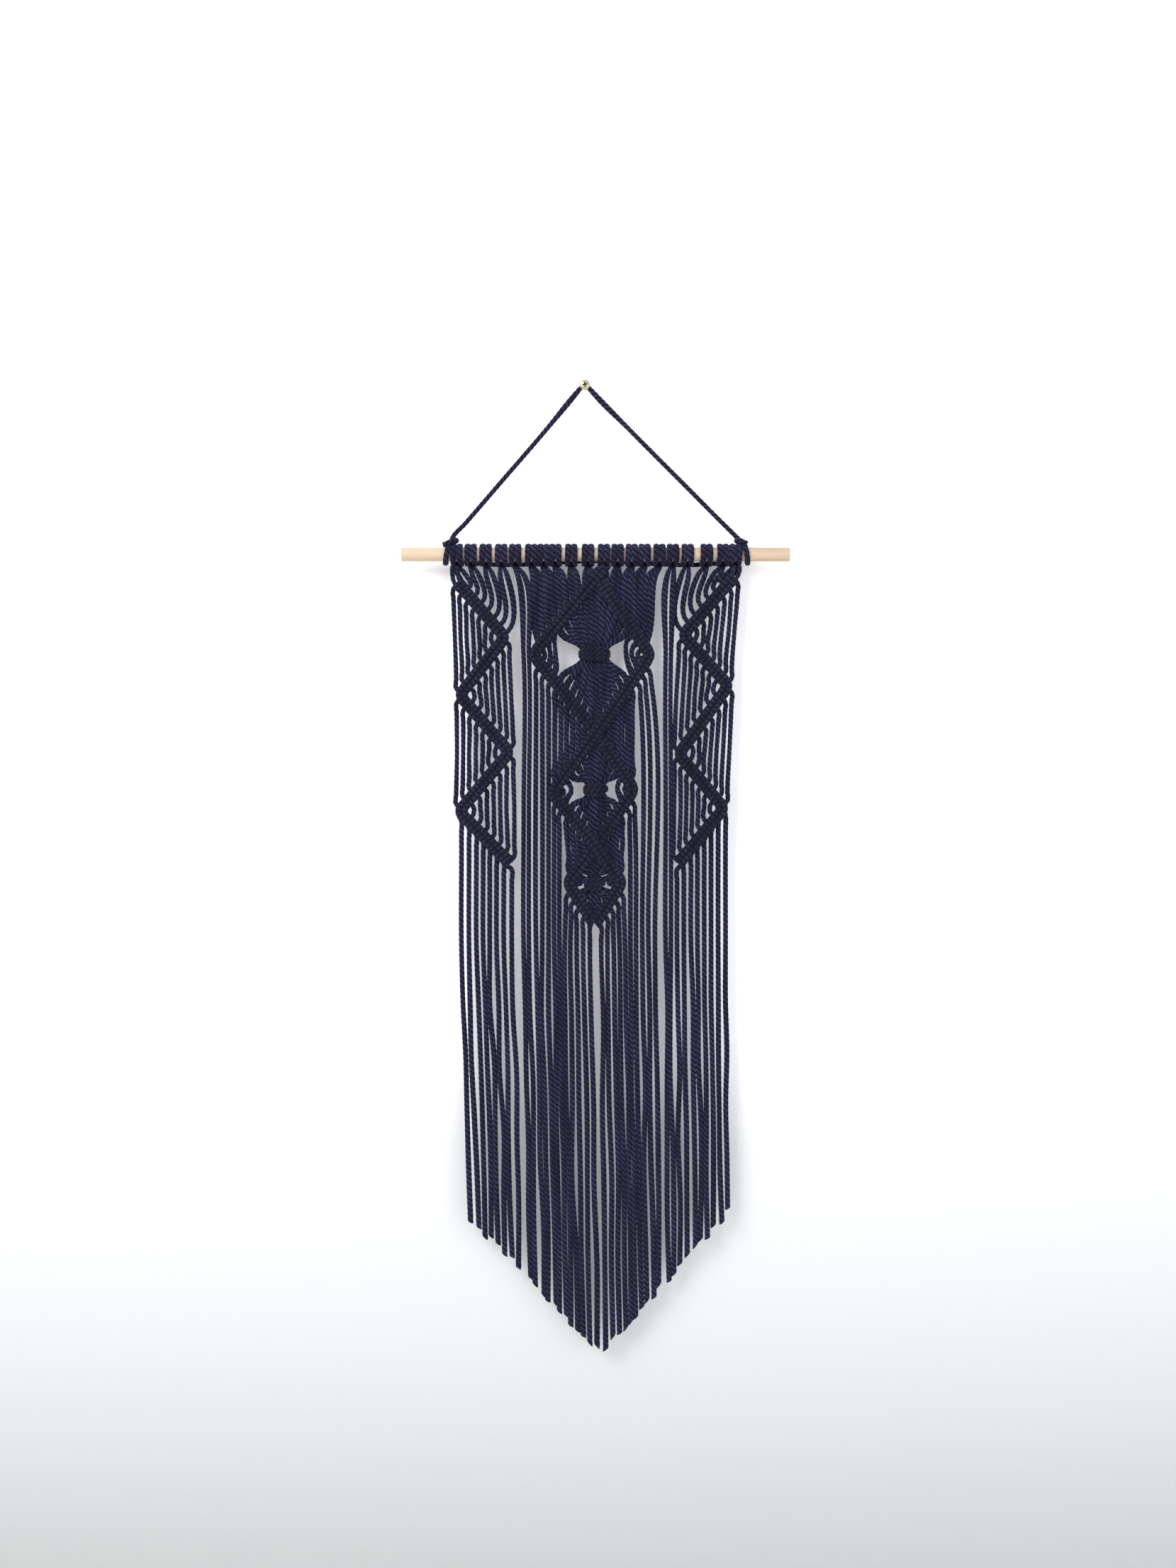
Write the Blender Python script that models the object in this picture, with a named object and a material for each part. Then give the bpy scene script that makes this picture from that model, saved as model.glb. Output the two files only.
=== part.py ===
"""A knotted cord wall hanging: a wooden dowel on a hanger cord, with twenty folded cords.

Metres, +Z up, front towards -Y.  The origin is the point where the hanger cord rests on its
nail.  Each of the twenty cords is folded in half over the dowel, so it hangs as two strands.
"""
import math

import bmesh
import bpy
from mathutils import Vector

MM = 0.001

# Driving dimensions, in millimetres
CORD = 4.2                       # diameter of every cord
DOWEL_LENGTH = 355.6
DOWEL_RADIUS = 6.35
DOWEL_X = 9.9                    # the dowel's middle, right of the nail
DOWEL_Z = -155.5                 # the dowel's axis, below the nail
GAP = 0.3                        # clearance between touching pieces
HITCH_X = (-136.6, 137.6)        # the hanger's two hitches, from the dowel's middle
LEG_FOOT = ((-131.5, -141.0), (131.0, -141.5))
RETURN_Y = 15.0                  # the hanger's run along the back of the dowel
RETURN_DROP = 3.2
SHEET_Y = -0.3                   # the plane in which the strands hang
RIDGE_WIDTH = 9.5                # two rows of hitches side by side
RIDGE_DEPTH = 4.8
RIDGE_GAP = 0.25
KNOT_PITCH = 1.6                 # strand spacing inside a gathering knot
KNOT_LAYER = 1.7
KNOT_WALL = 2.7
SQUEEZE = 0.72                   # how far a knot squeezes a strand

# Lark's head places along the dowel, from the dowel's middle
HEADS = (-127.0, -114.2, -100.5, -86.3, -73.6, -58.8, -47.7, -36.8, -22.3, -7.0,
         7.6, 20.0, 33.0, 44.7, 58.3, 70.6, 84.0, 101.4, 116.5, 127.9)

# Corners of the knotted ridges, (x, z) with x from the dowel's middle and z from the nail
LEFT_ZIGZAG = ((-127.0, -181.0), (-83.0, -232.0), (-124.0, -285.0), (-79.0, -337.0),
               (-124.5, -391.0), (-77.5, -439.0))
RIGHT_ZIGZAG = ((127.0, -176.0), (80.0, -230.0), (121.0, -276.0), (76.0, -339.0),
                (117.0, -388.0), (75.0, -439.0))
# Each diamond: top, left, right, bottom, strands in each half, ungathered strands' x, knot z
DIAMONDS = (
    dict(top=(0.5, -177.0), left=(-57.0, -248.0), right=(50.0, -248.0), bottom=(0.5, -319.0),
         half=10, loose=((-49.0, -43.0, -37.0), (28.5, 35.0, 41.5)), knot=(-1.0, -247.0, 16.0)),
    dict(top=(0.5, -319.0), left=(-40.0, -374.0), right=(35.0, -371.0), bottom=(0.0, -422.5),
         half=7, loose=((-30.0, -24.0), (20.0, 26.0)), knot=(0.0, -371.0, 14.0)),
    dict(top=(0.0, -422.5), left=(-25.5, -456.0), right=(24.0, -456.0), bottom=(-1.0, -494.0),
         half=5, loose=((-18.5,), (17.0,)), knot=(-1.0, -457.0, 9.0)),
)

# Where each strand hangs in the fringe, from the dowel's middle
FRINGE_TOP = -515.0
LEFT_FRINGE = (-123.0, -116.1, -109.3, -103.1, -97.1, -90.8, -84.2, -76.9)
RIGHT_FRINGE = (74.6, 80.9, 87.4, 93.4, 99.6, 105.8, 112.3, 119.1)
LEFT_PAIR = (-66.0, -61.2)
RIGHT_PAIR = (64.2, 69.0)
CENTRE_FRINGE = (-54.6, -49.0, -43.2, -38.0, -33.2, -28.4, -23.2, -17.4, -11.5, -5.3,
                 5.1, 10.8, 16.5, 22.0, 27.0, 31.9, 37.0, 42.8, 48.4, 54.4)
TIP = (5.7, -887.0)              # lowest point of the trimmed V
V_SLOPE = (1.015, 1.10)          # rise of the cut, left and right of the tip
BOW = 0.075                      # sideways bow of a strand for each unit it hangs free
EXIT_LEAN = 0.4                  # how soon a strand leans towards its first ridge
HITCHED = 0.93                   # share of a diamond's leg that carries hitches


def clear_scene():
    """Remove whatever the opened scene holds."""
    for item in list(bpy.data.objects):
        bpy.data.objects.remove(item, do_unlink=True)


def material(name, colour, roughness):
    """A plain surface in one colour."""
    made = bpy.data.materials.new(name)
    made.use_nodes = True
    shader = made.node_tree.nodes["Principled BSDF"]
    shader.inputs["Base Color"].default_value = (*colour, 1.0)
    shader.inputs["Roughness"].default_value = roughness
    shader.inputs["Metallic"].default_value = 0.0
    return made


def place(x, y, z):
    """A point given from the dowel's middle and the nail, in metres."""
    return Vector(((x + DOWEL_X) * MM, y * MM, z * MM))


def add_object(name, data, finish, pivot):
    """Link an object under its pivot empty, keeping its world place."""
    data.materials.append(finish)
    made = bpy.data.objects.new(name, data)
    bpy.context.scene.collection.objects.link(made)
    if pivot is not None:
        made.parent = pivot
        made.matrix_parent_inverse = pivot.matrix_world.inverted()
    return made


def add_tube(name, points, finish, pivot, closed=False):
    """A cord as a round tube through points of (x, y, z, thickness factor)."""
    data = bpy.data.curves.new(name, "CURVE")
    data.dimensions = "3D"
    data.bevel_depth = CORD / 2 * MM
    data.bevel_resolution = 2
    data.use_fill_caps = not closed
    spline = data.splines.new("POLY")
    spline.points.add(len(points) - 1)
    for point, (x, y, z, factor) in zip(spline.points, points):
        point.co = (*place(x, y, z), 1.0)
        point.radius = factor
    spline.use_cyclic_u = closed
    return add_object(name, data, finish, pivot)


def add_mesh(name, corners, faces, finish, pivot):
    """A closed mesh from corners given from the dowel's middle and the nail."""
    mesh = bpy.data.meshes.new(name)
    mesh.from_pydata([place(*corner) for corner in corners], [], faces)
    shape = bmesh.new()
    shape.from_mesh(mesh)
    bmesh.ops.recalc_face_normals(shape, faces=shape.faces)
    shape.to_mesh(mesh)
    shape.free()
    return add_object(name, mesh, finish, pivot)


def add_pivot(name):
    """An empty on the dowel's axis, which its strip turns about."""
    pivot = bpy.data.objects.new(name, None)
    pivot.location = place(0.0, 0.0, DOWEL_Z)
    bpy.context.scene.collection.objects.link(pivot)
    bpy.context.view_layer.update()
    return pivot


def mix(a, b, share):
    """The point a share of the way from a to b."""
    return tuple(p + (q - p) * share for p, q in zip(a, b))


# ---- dowel and hanger ---------------------------------------------------------------------

def add_dowel(finish, pivot):
    """The turned stick, its ends eased by a small chamfer, with its origin on its axis."""
    mesh = bpy.data.meshes.new("dowel")
    shape = bmesh.new()
    bmesh.ops.create_cone(shape, cap_ends=True, segments=24, radius1=DOWEL_RADIUS * MM,
                          radius2=DOWEL_RADIUS * MM, depth=DOWEL_LENGTH * MM)
    rims = [edge for edge in shape.edges
            if abs(edge.verts[0].co.z - edge.verts[1].co.z) < 1e-6]
    bmesh.ops.bevel(shape, geom=rims, offset=0.5 * MM, segments=1, affect="EDGES")
    shape.to_mesh(mesh)
    shape.free()
    for face in mesh.polygons:
        face.use_smooth = True
    made = add_object("dowel", mesh, finish, None)
    made.rotation_euler = (0.0, math.pi / 2, 0.0)
    made.location = place(0.0, 0.0, DOWEL_Z)
    made.parent = pivot
    made.matrix_parent_inverse = pivot.matrix_world.inverted()


def add_hanger(finish):
    """The hanger cord: two legs over the nail, a hitch at each end, and its run behind."""
    nail_x = -DOWEL_X
    bend = 2.0 + CORD / 2
    left, right = LEG_FOOT
    route = [(*left, 1.0), (*mix(left, (nail_x, 0.0), 0.33), 1.0),
             (*mix(left, (nail_x, 0.0), 0.66), 1.0),
             (nail_x - bend, -bend * 0.75, 1.0), (nail_x - bend * 0.55, 0.8, 1.0),
             (nail_x, CORD / 2, 1.0),
             (nail_x + bend * 0.55, 0.8, 1.0), (nail_x + bend, -bend * 0.75, 1.0),
             (*mix(right, (nail_x, 0.0), 0.66), 1.0), (*mix(right, (nail_x, 0.0), 0.33), 1.0),
             (*right, 1.0)]
    add_tube("hanger_cord", [(x, 0.0, z, factor) for x, z, factor in route], finish, None)
    turns = 12
    reach = (DOWEL_RADIUS + GAP + CORD / 2) / math.cos(math.pi / turns)
    for side, x in zip(("left", "right"), HITCH_X):
        ring = [(x + 1.2 * math.sin(math.tau * k / turns),
                 reach * math.cos(math.tau * k / turns),
                 DOWEL_Z + reach * math.sin(math.tau * k / turns), 1.0) for k in range(turns)]
        add_tube("hanger_hitch_" + side, ring, finish, None, closed=True)
    back = DOWEL_Z - RETURN_DROP
    start = reach + CORD / 2 + CORD / 2 + GAP
    run = [(HITCH_X[0], start, DOWEL_Z - 1.0, 1.0), (HITCH_X[0] + 5.0, RETURN_Y, back + 1.5, 1.0),
           (HITCH_X[0] + 12.0, RETURN_Y, back, 1.0), (0.0, RETURN_Y, back, 1.0),
           (HITCH_X[1] - 12.0, RETURN_Y, back, 1.0), (HITCH_X[1] - 5.0, RETURN_Y, back + 1.5, 1.0),
           (HITCH_X[1], start, DOWEL_Z - 1.0, 1.0)]
    add_tube("hanger_return_run", run, finish, None)


# ---- folded cords -------------------------------------------------------------------------

def head_half(x, side):
    """Half a lark's head: from the bar at the back, under, up the front, over and down.

    Each turn is (angle from the back, radius, distance from the head's middle, thickness).
    """
    full = (DOWEL_RADIUS + GAP + CORD / 2) / math.cos(math.radians(29.0))
    turns = ((-25.0, 11.7, 3.9, 0.60), (-63.0, 10.3, 4.0, 0.58), (-112.0, full, 3.1, 0.85),
             (-170.0, full, 2.75, 1.0), (-228.0, full, 2.75, 1.0), (-286.0, full, 2.5, 0.9),
             (-340.0, full, 1.9, 0.75), (-385.0, 8.4, 1.35, 0.58))
    points = [(x + side * out, radius * math.cos(math.radians(angle)),
               DOWEL_Z + radius * math.sin(math.radians(angle)), factor)
              for angle, radius, out, factor in turns]
    points.append((x + side * 1.35, 4.7, DOWEL_Z - 9.7, 0.58))
    return points


def entry(knot, cross, reach):
    """A point just outside a knot that halves a strand's turn from its ridge crossing."""
    turn = math.atan2(cross[0] - knot[0], abs(cross[1] - knot[1])) / 2
    up = math.copysign(reach, cross[1] - knot[1])
    return knot[0] + reach * math.sin(turn), knot[1] + up * math.cos(turn)


def free_run(start, end, outward):
    """The bowed middle of a stretch that hangs free between two ridges."""
    drop = start[1] - end[1]
    if drop < 16.0:
        return []
    x = (start[0] + end[0]) / 2 + outward * BOW * drop
    return [(x, SHEET_Y, (start[1] + end[1]) / 2, 1.0)]


def fringe_end(x):
    """Foot of a strand: the fringe drifts right, and is cut to a V."""
    foot = x * 0.975 + 5.5
    slope = V_SLOPE[0] if foot < TIP[0] else V_SLOPE[1]
    return foot, TIP[1] + slope * abs(foot - TIP[0])


def fringe(x):
    """The stretch of a strand from the fringe's top to its cut end."""
    foot, low = fringe_end(x)
    return [(x, SHEET_Y, FRINGE_TOP, 1.0), (foot, SHEET_Y, low, 1.0)]


def zigzag_strand(number, corners, fringe_x, mirrored):
    """A strand of a side strip: behind each leg of the zigzag, bowed out between legs."""
    share = (number + 0.5) / 8
    points = []
    last = None
    for leg in range(len(corners) - 1):
        down_right = (leg % 2 == 0) != mirrored
        cross = mix(corners[leg], corners[leg + 1], share if down_right else 1 - share)
        if last is not None:
            outward = -1.0 if (leg % 2 == 1) != mirrored else 1.0
            points += free_run(last, cross, outward * 0.4)
        points.append((cross[0], SHEET_Y, cross[1], 1.0))
        last = cross
    return points + fringe(fringe_x)


def centre_strand(number):
    """A strand of the centre panel: through each diamond and its knot while it belongs."""
    left_half = number < 10
    inner = 9 - number if left_half else number - 10
    outward = -1.0 if left_half else 1.0
    points = []
    last = None
    for diamond in DIAMONDS:
        half = diamond["half"]
        if inner >= half:
            break
        corner = diamond["left"] if left_half else diamond["right"]
        share = (inner + 0.5) / half * HITCHED
        upper = mix(diamond["top"], corner, share)
        lower = mix(diamond["bottom"], corner, share)
        if last is not None:
            points += free_run(last, upper, outward)
        points.append((upper[0], SHEET_Y, upper[1], 1.0))
        loose = diamond["loose"][0 if left_half else 1]
        gathered = half - len(loose)
        if inner >= gathered:
            order = half - 1 - inner if left_half else inner - gathered
            for down, bulge in ((0.25, 0.75), (0.5, 1.0), (0.75, 0.75)):
                points.append((upper[0] + (loose[order] - upper[0]) * bulge, SHEET_Y,
                               upper[1] + (lower[1] - upper[1]) * down, 1.0))
        else:
            knot_x, knot_z, knot_height = diamond["knot"]
            x = knot_x + (number - 9.5) * KNOT_PITCH
            y = SHEET_Y + (KNOT_LAYER if number % 2 else -KNOT_LAYER)
            reach = knot_height / 2 + 1.2 + 1.9 * (gathered - 1 - inner)
            above, below = (x, knot_z + reach), (x, knot_z - reach)
            sharp = inner == gathered - 1 and diamond is not DIAMONDS[-1]
            if sharp:
                lead = entry(above, upper, knot_height * 0.19)
                points.append((lead[0], y, lead[1], 0.8))
            points.append((x, y, above[1], SQUEEZE))
            points.append((x, y, below[1], SQUEEZE))
            if sharp:
                lead = entry(below, lower, knot_height * 0.19)
                points.append((lead[0], y, lead[1], 0.8))
        points.append((lower[0], SHEET_Y, lower[1], 1.0))
        last = lower
    return points + fringe(CENTRE_FRINGE[number])


def strand_below(head, side):
    """Everything below the dowel for one of a cord's two strands."""
    order = head * 2 + side
    if head < 4:
        return zigzag_strand(order, LEFT_ZIGZAG, LEFT_FRINGE[order], False)
    if head == 4:
        x = LEFT_PAIR[side]
        return [(x, SHEET_Y, -330.0, 1.0)] + fringe(x)
    if head < 15:
        return centre_strand(order - 10)
    if head == 15:
        x = RIGHT_PAIR[side]
        return [(x, SHEET_Y, -330.0, 1.0)] + fringe(x)
    return zigzag_strand(order - 32, RIGHT_ZIGZAG, RIGHT_FRINGE[order - 32], True)


def add_cords(finish, pivots):
    """The twenty cords, each one tube from its left strand's foot to its right strand's."""
    for head, x in enumerate(HEADS):
        halves = []
        for side, sign in ((0, -1.0), (1, 1.0)):
            below = strand_below(head, side)
            lean = EXIT_LEAN * (below[0][0] - x - sign * CORD / 2)
            start = (x + sign * 2.35 + lean, 0.6, DOWEL_Z - 17.0, 0.9)
            halves.append(head_half(x, sign) + [start] + below)
        bar = (x, 11.7 * math.cos(math.radians(25.0)), DOWEL_Z - 11.7 * math.sin(math.radians(25.0)),
               0.75)
        route = list(reversed(halves[0])) + [bar] + halves[1]
        add_tube("cord_%02d" % (head + 1), route, finish, pivots[head])


# ---- knotted ridges -----------------------------------------------------------------------

def slopes_at(direction, neighbours):
    """How far each side of a ridge's end is cut back, so that it meets its neighbours."""
    if not neighbours:
        return 0.0, 0.0
    heading = math.atan2(direction[1], direction[0])
    turns = [(math.atan2(z, x) - heading) % math.tau for x, z in neighbours]
    return 1 / math.tan(min(turns) / 2), 1 / math.tan((math.tau - max(turns)) / 2)


def add_ridge(name, start, end, before, after, finish, pivot):
    """A leg of double ridge: two rounded rows of hitches side by side, mitred at each end."""
    length = math.dist(start, end)
    along = ((end[0] - start[0]) / length, (end[1] - start[1]) / length)
    normal = (-along[1], along[0])
    half = RIDGE_WIDTH / 2
    low = RIDGE_DEPTH / 2
    front = SHEET_Y - CORD / 2 - GAP - low
    outline = ((-half, 0.0), (-half * 0.82, low), (half * 0.82, low), (half, 0.0),
               (half * 0.85, -low * 0.75), (half * 0.5, -low), (half * 0.15, -low * 0.8),
               (0.0, -low * 0.55), (-half * 0.15, -low * 0.8), (-half * 0.5, -low),
               (-half * 0.85, -low * 0.75))
    left_a, right_a = slopes_at(along, before)
    right_b, left_b = slopes_at((-along[0], -along[1]), after)
    corners = []
    for at_end in (False, True):
        for off, deep in outline:
            slopes = (left_b, right_b) if at_end else (left_a, right_a)
            cut = RIDGE_GAP + abs(off) * (slopes[0] if off > 0 else slopes[1])
            s = length - cut if at_end else cut
            corners.append((start[0] + along[0] * s + normal[0] * off, front + deep,
                            start[1] + along[1] * s + normal[1] * off))
    count = len(outline)
    faces = [tuple(range(count)), tuple(range(2 * count - 1, count - 1, -1))]
    for k in range(count):
        n = (k + 1) % count
        faces.append((k, n, count + n, count + k))
    add_mesh(name, corners, faces, finish, pivot)


def heading(a, b):
    """Direction from a to b."""
    return b[0] - a[0], b[1] - a[1]


def add_zigzag(side, corners, finish, pivot):
    """The five legs of a side strip's zigzag."""
    for leg in range(len(corners) - 1):
        a, b = corners[leg], corners[leg + 1]
        before = [heading(a, corners[leg - 1])] if leg > 0 else []
        after = [heading(b, corners[leg + 2])] if leg + 2 < len(corners) else []
        add_ridge("%s_ridge_%d" % (side, leg + 1), a, b, before, after, finish, pivot)


def add_diamonds(finish, pivot):
    """The four legs and the gathering knot of each diamond."""
    for number, diamond in enumerate(DIAMONDS):
        top, bottom = diamond["top"], diamond["bottom"]
        above = DIAMONDS[number - 1] if number > 0 else None
        below = DIAMONDS[number + 1] if number < 2 else None
        for side, other in (("left", "right"), ("right", "left")):
            corner, across = diamond[side], diamond[other]
            at_top = [heading(top, across)]
            at_bottom = [heading(bottom, across)]
            if above:
                at_top += [heading(top, above["left"]), heading(top, above["right"])]
            if below:
                at_bottom += [heading(bottom, below["left"]), heading(bottom, below["right"])]
            base = "diamond_%d_" % (number + 1)
            add_ridge(base + "upper_" + side, top, corner, at_top, [heading(corner, bottom)],
                      finish, pivot)
            add_ridge(base + "lower_" + side, corner, bottom, [heading(corner, top)], at_bottom,
                      finish, pivot)
        add_knot("diamond_%d_knot" % (number + 1), diamond, finish, pivot)


def add_knot(name, diamond, finish, pivot):
    """A gathering knot: a rounded sleeve round the strands that it draws together."""
    x, z, height = diamond["knot"]
    count = diamond["half"] - len(diamond["loose"][0])
    inner_x = (count - 0.5) * KNOT_PITCH + SQUEEZE * CORD / 2 + 0.8
    inner_y = KNOT_LAYER + SQUEEZE * CORD / 2 + 0.4
    around = 16
    profile = ((0.0, -0.5), (0.0, 0.5), (0.6, 0.5), (1.0, 0.25), (1.0, -0.25), (0.6, -0.5))
    corners = []
    for k in range(around):
        angle = math.tau * (k + 0.5) / around
        c, s = math.cos(angle), math.sin(angle)
        ux = math.copysign(abs(c) ** 0.35, c)
        uy = math.copysign(abs(s) ** 0.35, s)
        for out, up in profile:
            corners.append((x + ux * (inner_x + KNOT_WALL * out),
                            SHEET_Y + uy * (inner_y + KNOT_WALL * out), z + up * height))
    size = len(profile)
    faces = []
    for k in range(around):
        n = (k + 1) % around
        for p in range(size):
            q = (p + 1) % size
            faces.append((k * size + p, k * size + q, n * size + q, n * size + p))
    add_mesh(name, corners, faces, finish, pivot)


def main():
    """Build every piece."""
    clear_scene()
    wood = material("pale_wood", (0.78, 0.60, 0.38), 0.6)
    navy = material("navy_cotton_cord", (0.020, 0.020, 0.055), 0.85)
    names = ("dowel_pivot", "left_strip_pivot", "left_pair_pivot", "centre_panel_pivot",
             "right_pair_pivot", "right_strip_pivot")
    dowel, left_strip, left_pair, centre, right_pair, right_strip = map(add_pivot, names)
    add_dowel(wood, dowel)
    add_hanger(navy)
    pivots = [left_strip] * 4 + [left_pair] + [centre] * 10 + [right_pair] + [right_strip] * 4
    add_cords(navy, pivots)
    add_zigzag("left", LEFT_ZIGZAG, navy, left_strip)
    add_zigzag("right", RIGHT_ZIGZAG, navy, right_strip)
    add_diamonds(navy, centre)


main()
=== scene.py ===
"""The looks of a knotted cord wall hanging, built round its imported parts.

Everything is in metres in the parts' own frame: +Z up, the front towards -Y, and the origin
where the hanger cord rests on its nail.
"""
import math

import bpy
import numpy as np
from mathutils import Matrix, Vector


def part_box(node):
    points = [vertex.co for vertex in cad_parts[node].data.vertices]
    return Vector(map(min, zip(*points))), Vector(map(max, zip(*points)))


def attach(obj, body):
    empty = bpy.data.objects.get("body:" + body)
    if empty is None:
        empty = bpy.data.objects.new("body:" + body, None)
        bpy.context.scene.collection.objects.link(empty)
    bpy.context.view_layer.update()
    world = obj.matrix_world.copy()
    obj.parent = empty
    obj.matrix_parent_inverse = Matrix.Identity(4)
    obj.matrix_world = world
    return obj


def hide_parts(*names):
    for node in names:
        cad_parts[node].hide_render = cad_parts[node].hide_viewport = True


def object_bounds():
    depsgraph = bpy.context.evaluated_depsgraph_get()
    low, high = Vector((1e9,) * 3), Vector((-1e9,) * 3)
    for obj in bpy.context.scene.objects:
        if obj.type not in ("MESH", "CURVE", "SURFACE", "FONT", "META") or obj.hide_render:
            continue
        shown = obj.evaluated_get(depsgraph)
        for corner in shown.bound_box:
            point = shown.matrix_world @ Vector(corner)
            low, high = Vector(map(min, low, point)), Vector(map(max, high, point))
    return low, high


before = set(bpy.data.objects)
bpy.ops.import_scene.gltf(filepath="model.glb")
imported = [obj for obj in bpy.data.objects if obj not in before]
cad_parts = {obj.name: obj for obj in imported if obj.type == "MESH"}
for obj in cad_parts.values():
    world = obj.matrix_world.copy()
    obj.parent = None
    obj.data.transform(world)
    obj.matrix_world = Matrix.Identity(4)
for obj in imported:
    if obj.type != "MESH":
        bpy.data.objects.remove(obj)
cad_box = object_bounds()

MM = 0.001

# ---- camera, wall and lights --------------------------------------------------------------
# A room's plain white wall in soft daylight, seen square on from a little over a metre away.
# The wall lets the light and the eye through from behind, so the back can be looked at.
dowel_low, dowel_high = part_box("dowel")
DOWEL_MIDDLE = [(dowel_low[k] + dowel_high[k]) / 2 for k in range(3)]
DOWEL_RADIUS = (dowel_high[2] - dowel_low[2]) / 2
WALL_Y = cad_box[1][1] + 2 * MM
VIEW_HEIGHT = 1.438
VIEW_CENTRE = (0.0029, -0.366)
LENS = 28.0
SENSOR = 36.0


class Shade:
    """One material's nodes, made by calling node(), with numbers that can be reckoned with."""

    def __init__(self, name):
        self.material = bpy.data.materials.new(name)
        self.material.use_nodes = True
        self.tree = self.material.node_tree
        self.surface = self.tree.nodes["Principled BSDF"]

    def node(self, kind, settings=None, output=0, **sockets):
        """Add a node, set its settings, then its sockets, and give one of its outputs."""
        made = self.tree.nodes.new("ShaderNode" + kind)
        for key, value in (settings or {}).items():
            if key == "stops":
                ramp = made.color_ramp
                while len(ramp.elements) < len(value):
                    ramp.elements.new(0.5)
                for element, (place, colour) in zip(ramp.elements, value):
                    element.position = place
                    element.color = (*colour, 1.0)
            else:
                setattr(made, key, value)
        for key, value in sockets.items():
            socket = made.inputs[int(key[1:])] if key[1:].isdigit() else made.inputs[key]
            self.put(socket, value)
        return Number(self, made.outputs[output])

    def put(self, socket, value):
        """Set a socket to a value, or link it to what made it."""
        if isinstance(value, Number):
            self.tree.links.new(value.socket, socket)
        else:
            socket.default_value = value

    def set(self, **sockets):
        """Set the surface's own sockets, with their names' spaces written as underscores."""
        for key, value in sockets.items():
            self.put(self.surface.inputs[key.replace("_", " ")], value)
        return self.material


class Number:
    """A node's output that adds, multiplies and compares as numbers do."""

    def __init__(self, shade, socket):
        self.shade = shade
        self.socket = socket

    def reckon(self, operation, a, b):
        return self.shade.node("Math", {"operation": operation}, i0=a, i1=b)

    def __add__(self, other):
        return self.reckon("ADD", self, other)

    def __sub__(self, other):
        return self.reckon("SUBTRACT", self, other)

    def __rsub__(self, other):
        return self.reckon("SUBTRACT", other, self)

    def __mul__(self, other):
        return self.reckon("MULTIPLY", self, other)

    def power(self, other):
        return self.reckon("POWER", self, other)

    __radd__ = __add__
    __rmul__ = __mul__


def make_view():
    """The camera, level and square to the wall, and a plain rendering of white."""
    bpy.context.scene.view_settings.view_transform = "Standard"
    data = bpy.data.cameras.new("view")
    data.lens = LENS
    data.sensor_width = SENSOR
    camera = bpy.data.objects.new("view", data)
    camera.location = (VIEW_CENTRE[0], -VIEW_HEIGHT * LENS / SENSOR, VIEW_CENTRE[1])
    camera.rotation_euler = (math.pi / 2, 0.0, 0.0)
    bpy.context.scene.collection.objects.link(camera)
    bpy.context.scene.camera = camera


def add_light(name, place, aim, size, power, colour):
    """A square soft light that looks at a point."""
    data = bpy.data.lights.new(name, "AREA")
    data.size = size
    data.energy = power
    data.color = colour
    lamp = bpy.data.objects.new(name, data)
    lamp.location = place
    direction = [a - p for a, p in zip(aim, place)]
    lamp.rotation_euler = Vector(direction).to_track_quat("-Z", "Y").to_euler()
    bpy.context.scene.collection.objects.link(lamp)


def add_plane(name, corners, material):
    """One flat rectangle of the stage."""
    mesh = bpy.data.meshes.new(name)
    mesh.from_pydata(corners, [], [(0, 1, 2, 3)])
    mesh.materials.append(material)
    plane = bpy.data.objects.new(name, mesh)
    bpy.context.scene.collection.objects.link(plane)
    return plane


def wall_paint_and_shade():
    """White emulsion with painted shade that greys it towards the floor, and a faint painted glow
    that lifts the shadows on it; it is clear when seen from behind.
    """
    shade = Shade("wall_paint_and_shade")
    up = shade.node("SeparateXYZ", output=2, Vector=shade.node("TexCoord", output=3))
    # painted shade: the colour darkens towards the floor, and the same colour glows a little as
    # painted light that softens the shadows on the wall
    tone = shade.node("ValToRGB", {"stops": (
        (0.0, (0.405, 0.415, 0.415)), (0.10, (0.44, 0.452, 0.452)), (0.38, (0.54, 0.552, 0.556)),
        (0.80, (0.66, 0.665, 0.68)), (1.0, (0.88, 0.88, 0.905)))}, Fac=(up + 1.1) * 2.0)
    shade.set(Base_Color=tone, Roughness=0.9, Emission_Color=tone, Emission_Strength=0.245)
    facing = shade.node("NewGeometry", output=6)
    clear = shade.node("BsdfTransparent")
    out = shade.tree.nodes["Material Output"]
    shade.tree.links.new(shade.node("MixShader", Fac=facing, i1=Number(
        shade, shade.surface.outputs[0]), i2=clear).socket, out.inputs["Surface"])
    return shade.material


make_view()
wall = add_plane("wall", [(-1.6, WALL_Y, -1.2), (1.6, WALL_Y, -1.2), (1.6, WALL_Y, 1.1),
                          (-1.6, WALL_Y, 1.1)], wall_paint_and_shade())
wall.visible_shadow = False
floor_paint = Shade("floor_paint").set(Base_Color=(0.80, 0.79, 0.77, 1.0), Roughness=0.8)
add_plane("floor", [(-1.6, -2.2, -1.2), (1.6, -2.2, -1.2), (1.6, WALL_Y, -1.2),
                    (-1.6, WALL_Y, -1.2)], floor_paint)
SCREW_Z = -1.0 * MM
NAIL_TOP = -0.1 * MM
NAIL_RADIUS = 1.9 * MM
SHANK_SLOPE = 0.3                # the screw was driven in a little upward


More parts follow.
